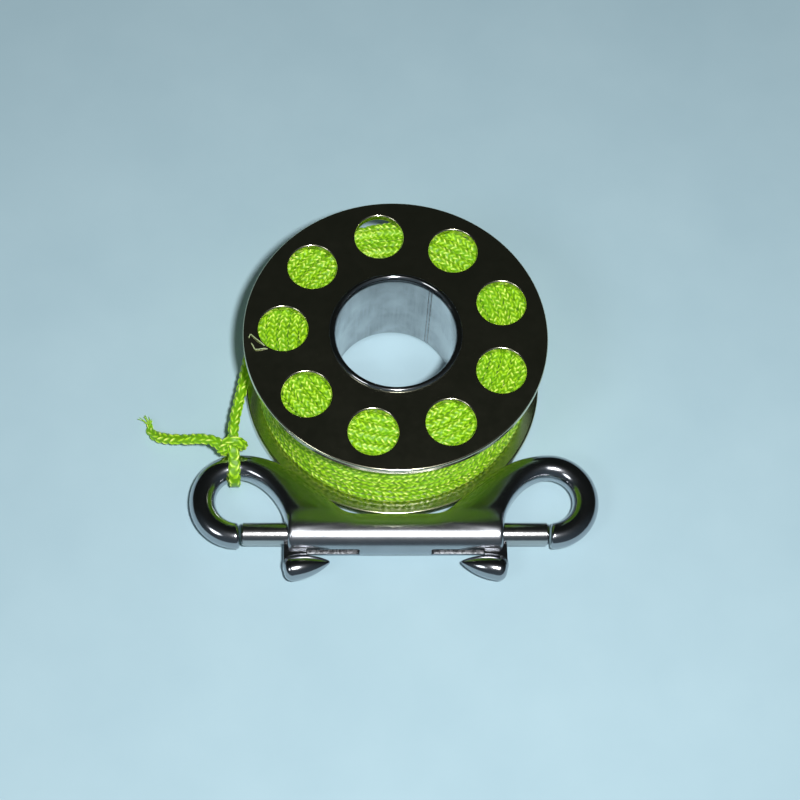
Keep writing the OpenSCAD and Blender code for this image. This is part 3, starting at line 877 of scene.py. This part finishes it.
def hook_ring(outer, inner, height, outer_power=2.0, inner_power=2.0, top_power=2.0, sides=96):
    """Section between an outer and an inner point; a power of 2 is round, and more is squarer."""
    a = np.arange(sides) * TAU / sides
    power = np.where(np.cos(a) > 0, np.where(np.sin(a) > 0, top_power, outer_power), inner_power)
    c = np.sign(np.cos(a)) * np.abs(np.cos(a)) ** (2 / power)
    s = np.sign(np.sin(a)) * np.abs(np.sin(a)) ** (2 / power)
    mid, half = (outer + inner) / 2, (outer - inner) / 2
    return np.stack([mid[0] + half[0] * c, mid[1] + half[1] * c, height / 2 * s], -1)


def hook_mesh():
    """Closed mesh of the right web and hook, lofted from the barrel round to the hook's tip."""
    web_steps, bar_steps, tip_steps = 64, 130, 6
    outer_turn, eye_turn, tip_part, sink = 180, 184, 0.17, 2
    root = np.array([BARREL_HALF, 0])
    top, eye_top = outer_point(OUTER_END), eye_point(EYE_END)
    outer_root, eye_root = root + OUTER_ROOT, root + EYE_ROOT
    outer = [outer_root, outer_root + (OUTER_ROOT_PULL, 0), top - (OUTER_PULL, 0), top]
    along = np.array([-math.sin(math.radians(EYE_END)), math.cos(math.radians(EYE_END))])
    away = unit(np.array(EYE_ROOT_WAY))
    inner = [eye_root, eye_root + EYE_ROOT_PULL * away, eye_top + EYE_PULL * along, eye_top]
    rings = []
    for t in np.arange(web_steps) / web_steps:
        e = (1 - math.cos(math.pi * t)) / 2
        powers = (ROOT_SQUARE + (2 - ROOT_SQUARE) * t, EYE_SQUARE + (2 - EYE_SQUARE) * t * t,
                  WEB_TOP_SQUARE + (2 - WEB_TOP_SQUARE) * smooth(1.3 * t))
        rings.append(hook_ring(bezier(outer, t), bezier(inner, t), ROOT_H + (BAR_H - ROOT_H) * e, *powers))

    def bar(t, grow):
        o, e = outer_point(OUTER_END - outer_turn * t), eye_point(EYE_END - eye_turn * t)
        mid = (o + e) / 2
        return hook_ring(mid + (o - mid) * grow, mid + (e - mid) * grow, BAR_H * grow)

    rings += [bar(t, 1) for t in np.linspace(0, 1, bar_steps + 1)]
    for q in np.radians(np.linspace(0, 90, tip_steps + 1)[1:]):
        rings.append(bar(1 + TIP_ANGLE * math.sin(q) / outer_turn, 1 - tip_part * (1 - math.cos(q))))
    rings = np.array([rings[0] - (0, sink, 0)] + rings)  # the root runs on into the barrel
    sides = rings.shape[1]
    verts = np.concatenate([rings.reshape(-1, 3), rings[:1].mean(1), rings[-1:].mean(1)])
    quads = grid_quads(len(rings), sides, True)
    n, last = len(verts) - 2, (len(rings) - 1) * sides
    faces = quads.tolist()
    for i in range(sides):
        k = (i + 1) % sides
        faces += [[k, i, n], [last + i, last + k, n + 1]]
    return verts, faces if turned_out(verts, quads) else [f[::-1] for f in faces]


def rounded_bar(x, r, half, radius, rounding):
    """Distance to a round bar along X with rounded ends."""
    qx, qr = np.abs(x) - half + rounding, r - radius + rounding
    return np.minimum(np.maximum(qx, qr), 0) + np.hypot(np.maximum(qx, 0), np.maximum(qr, 0)) - rounding


def snap_body():
    """Barrel, webs and hooks as one casting, with the bores and slots of the gates."""
    hook = mesh_distance(*hook_mesh())
    web_fillet, edge_ease = 1.6, 0.35

    def distance(p):
        x, v, z = np.abs(p[:, 0]), p[:, 1], p[:, 2]
        r = np.hypot(v, z)
        barrel = rounded_bar(x, r, BARREL_HALF, BARREL_R, BARREL_ROUND)
        web = hook(np.stack([x, v, z], -1))
        # the root's flat end lies deep in the barrel, where the sign at its edges doesn't matter
        body = smooth_min(barrel, np.where((v < 1) & (x < BARREL_HALF + 2), np.abs(web), web), web_fillet)
        bore = np.maximum(r - BOLT_BORE_R, BORE_FLOOR_X - x)
        slot = np.maximum(np.maximum(np.abs(z) - SLOT_W / 2, SLOT_INNER_X - x), v)
        cut = np.maximum(np.minimum(bore, slot), x - BARREL_HALF - 2)
        body = -smooth_min(-body, cut, edge_ease)
        return np.maximum(body, -BARREL_R - z)

    # the grid starts a few steps left of the middle, and the left half mirrors the right one
    step, mid = 0.27, 4
    lo, hi = (-step * mid, -6.3, -5.8), (51.2, 22.2, 5.8)
    field = blur(field_values(distance, lo, hi, step))
    mirrored = np.concatenate([field[:mid:-1], field[mid:]], 0)
    low = (lo[0] + mid * step - (field.shape[0] - mid - 1) * step, lo[1], lo[2])
    verts, normals, quads = surface(mirrored, low, step)
    verts[:, 2] = np.maximum(verts[:, 2], -BARREL_R)
    # the walls of the bores and slots are dull, and darkened with painted shade
    x, r = np.abs(verts[:, 0]), np.hypot(verts[:, 1], verts[:, 2])
    in_slot = (x > SLOT_INNER_X - 0.2) & (np.abs(verts[:, 2]) < SLOT_W / 2 + 0.22) & (verts[:, 1] < 0)
    inside = ((r < BOLT_BORE_R + 0.15) | in_slot) & (x < BARREL_HALF + 0.1)
    return make_mesh("snap", on_snap(verts, 1), wound_right(verts, normals, quads), normals=normals,
                     values={"inner": inside.astype(float),
                             "satin": smooth(BARREL_HALF + 0.5 - x) * smooth(5.6 - verts[:, 1])})


dress(snap_body(), SNAP_STEEL, "snap", "snap_steel", "snap_body")


def knob_profile():
    """Half outline from the blunt end round to the point, as rows of radius and distance."""
    point_l, taper = KNOB_L - KNOB_R, KNOB_R - KNOB_POINT_R
    big = (point_l ** 2 + taper ** 2) / (2 * taper)
    blunt = arc(KNOB_R - KNOB_ROUND, KNOB_R - KNOB_ROUND, KNOB_ROUND, 90, 0, 16)[:, :2]
    y = np.linspace(0, point_l, 50)
    side = np.stack([KNOB_R - big + np.sqrt(big ** 2 - y ** 2), -y], -1)
    tip = np.array([[0.25, -point_l - 0.08], [0.0, -point_l - 0.1]])
    return np.concatenate([[[0, KNOB_R]], blunt, side, tip])


def knob_field():
    """Distance to a knob with its stem: the tilted, turned knob fused with a flat plate."""
    profile = knob_profile()
    sides, stem_ease, stem_fillet = 96, 0.12, 0.5
    a = np.arange(sides) * TAU / sides
    r, z = profile[:, :1], profile[:, 1:]
    verts = turn_to_x(np.stack([r * np.cos(a), r * np.sin(a), z + 0 * a], -1).reshape(-1, 3))
    tilt = math.radians(-KNOB_TILT)
    c, s = math.cos(tilt), math.sin(tilt)
    verts = verts @ np.array([[c, s, 0], [-s, c, 0], [0, 0, 1]])
    verts = verts + np.array([KNOB_REACH - KNOB_R, -KNOB_AXIS, 0])
    quads = grid_quads(len(profile), sides, True)
    solid = mesh_distance(verts, quads if turned_out(verts, quads) else quads[:, ::-1])

    def distance(p):
        x, v, z = p.T
        half = np.array([STEM_L, KNOB_AXIS - BOLT_R - SEAT, STEM_T]) / 2
        mid = np.array([STEM_X + STEM_L / 2, (-KNOB_AXIS - BOLT_R - SEAT) / 2, 0])
        q = np.abs(p - mid) - half + stem_ease
        stem = np.linalg.norm(np.maximum(q, 0), axis=1) + np.minimum(q.max(1), 0) - stem_ease
        return smooth_min(solid(p), stem, stem_fillet)
    return distance


KNOB_LOW, KNOB_HIGH, KNOB_STEP = (14.5, -13.4, -3.6), (28.2, -2.2, 3.6), 0.15
knob_grid = blur(field_values(knob_field(), KNOB_LOW, KNOB_HIGH, KNOB_STEP))
knob_verts, knob_normals, knob_quads = surface(knob_grid, KNOB_LOW, KNOB_STEP)


def bolt():
    """Round bolt along Z with an eased tail and an eased, bevelled nose."""
    nose, tail, sides, middle = BOLT_NOSE_X, BOLT_TAIL_X, 128, 0.001
    tail_round, shoulder_round, bevel, face_round = 0.2, 0.3, 0.24, 0.25
    shoulder = nose - 0.62
    eased = arc(BOLT_R - shoulder_round, shoulder, shoulder_round, 0, 45, 5)
    r, z = eased[-1, :2]
    edge = arc(r - bevel - face_round * math.sqrt(0.5), nose - face_round, face_round, 45, 90, 4)
    runs = [arc(BOLT_R - tail_round, tail + tail_round, tail_round, -90, 0, 4),
            flat(BOLT_R, tail + tail_round, BOLT_R, shoulder, 40), eased,
            flat(r, z, r - bevel, z + bevel, 2), edge, flat(edge[-1, 0], nose, middle, nose, 2),
            flat(middle, tail, BOLT_R - tail_round, tail, 2)]
    v, normals, q = revolve(runs, sides)
    v[:, 2] = np.minimum(v[:, 2], nose)
    return v, normals, q


def spring_path():
    """Middle line of the wire: a coil with one closed turn at each end."""
    x0, x1 = BORE_FLOOR_X + WIRE_R + SEAT, BOLT_TAIL_X - WIRE_R - SEAT
    turns, steps, ease = SPRING_TURNS + 2, 48, 6
    t = np.linspace(0, turns, turns * steps + 1)
    rest = x1 - x0 - 2 * CLOSED_PITCH
    x = np.interp(t, [0, 1, turns - 1, turns], [0, CLOSED_PITCH, CLOSED_PITCH + rest, 2 * CLOSED_PITCH + rest])
    count = 2 * ease + 1
    soft = np.convolve(np.pad(x, ease, mode="reflect", reflect_type="odd"), np.ones(count) / count, "valid")
    return np.stack([x0 + soft, COIL_R * np.cos(TAU * t), COIL_R * np.sin(TAU * t)], -1)


bolt_verts, bolt_normals, bolt_quads = bolt()
WIRE_SIDES = 12
wire = spring_path()
wire_out = unit(wire * np.array([0, 1, 1]))
wire_up = np.cross(unit(np.gradient(wire, axis=0)), wire_out)
spring_verts, spring_quads, spring_tris, _ = tube(wire, wire_out, wire_up, WIRE_R, WIRE_R, WIRE_SIDES, relief=0)
spring_normals = unit(spring_verts - np.concatenate([np.repeat(wire, WIRE_SIDES, 0), wire[1:2], wire[-2:-1]]))

# the spring's foot, a seat's width off the bore's floor
SPRING_FOOT = np.array([BORE_FLOOR_X + SEAT, 0, 0])

no_tris = np.empty((0, 3), int)
gate_shapes = [
    ("bolt", turn_to_x(bolt_verts), turn_to_x(bolt_normals), bolt_quads, no_tris, BOLT_STEEL, "snap_steel"),
    ("knob", knob_verts, knob_normals, knob_quads, no_tris, SNAP_STEEL, "snap_steel"),
    ("spring", spring_verts, spring_normals, spring_quads, spring_tris, WIRE_STEEL, "spring_steel")]
for label, side in (("left", -1), ("right", 1)):
    for kind, points, normals, quads, tris, material, slot in gate_shapes:
        points, normals = on_snap(points, side), normals * np.array([side, 1, 1])
        piece = make_mesh(f"{label}_gate_{kind}", points, wound_right(points, normals, quads),
                          wound_right(points, normals, tris), normals)
        dress(piece, material, "snap" if kind == "spring" else f"{label}_gate", slot, f"{label}_{kind}")
    tuple(on_snap(SPRING_FOOT, side) * MM)
    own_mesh(piece)


# ---------- floor and light ----------
floor = bpy.data.objects.new("floor", bpy.data.meshes.new("floor"))
FLOOR_HALF = 12
corners = [(x * FLOOR_HALF, y * FLOOR_HALF, TABLE_Z * MM) for x, y in ((-1, -1), (1, -1), (1, 1), (-1, 1))]
floor.data.from_pydata(corners, [], [(0, 1, 2, 3)])
scene.collection.objects.link(floor)
pale = Nodes("pale_floor")
pale.set(Roughness=0.75, Specular_IOR_Level=0.2)
table = pale.mix(pale.spread(pale.noise(30, 4, 0.55), 0.3, 0.7), (0.395, 0.560, 0.632), (0.425, 0.593, 0.663))
pale.link(table, pale.shader.inputs["Base Color"])
# far from the object the lamp fades, and the table keeps its paleness as a background
away = pale.add("ShaderNodeVectorMath", operation="LENGTH")
pale.link(pale.place, away.inputs[0])
rays = pale.add("ShaderNodeLightPath")
seen = pale.maths("MAXIMUM", rays.outputs["Is Camera Ray"], rays.outputs["Is Glossy Ray"])
far_glow = pale.spread(away.outputs["Value"], 0.16, 0.75, 0.0, 0.75)
pale.link(table, pale.shader.inputs["Emission Color"])
pale.link(pale.maths("MULTIPLY", seen, far_glow), pale.shader.inputs["Emission Strength"])
floor.data.materials.append(pale.mat)


def lamp(name, kind, source, energy):
    """Lamp that shines from source, a place or a direction, towards the origin."""
    light = bpy.data.lights.new(name, kind)
    light.energy = energy
    ob = bpy.data.objects.new(name, light)
    ob.rotation_mode = "QUATERNION"
    ob.rotation_quaternion = Vector(source).to_track_quat("Z", "Y")
    scene.collection.objects.link(ob)
    return ob


KEY_PLACE = (0.026, -0.222, 0.478)
key = lamp("key", "AREA", KEY_PLACE, 2.9)
key.location = KEY_PLACE
key.data.shape, key.data.size = "DISK", 0.034
soft = lamp("side", "SUN", (-0.565, -0.426, 0.707), 0.33)
soft.data.angle, soft.data.color = math.radians(17), (0.95, 0.98, 1.0)

# the room is a little lighter towards the front
world = bpy.data.worlds.new("studio")
world.use_nodes = True
tree = world.node_tree
back = tree.nodes["Background"]
sky = tree.nodes.new("ShaderNodeTexCoord")
split = tree.nodes.new("ShaderNodeSeparateXYZ")
tree.links.new(sky.outputs["Generated"], split.inputs[0])
ramp = tree.nodes.new("ShaderNodeValToRGB")
ramp.color_ramp.elements[0].color = (0.075, 0.10, 0.12, 1)
ramp.color_ramp.elements[1].color = (0.011, 0.013, 0.012, 1)
tree.links.new(map_range(tree, split.outputs["Y"], -0.95, 0.2, 0.0, 1.0), ramp.inputs["Fac"])
tree.links.new(ramp.outputs["Color"], back.inputs["Color"])
back.inputs["Strength"].default_value = 1.0
scene.world = world

scene.view_settings.view_transform = "Standard"
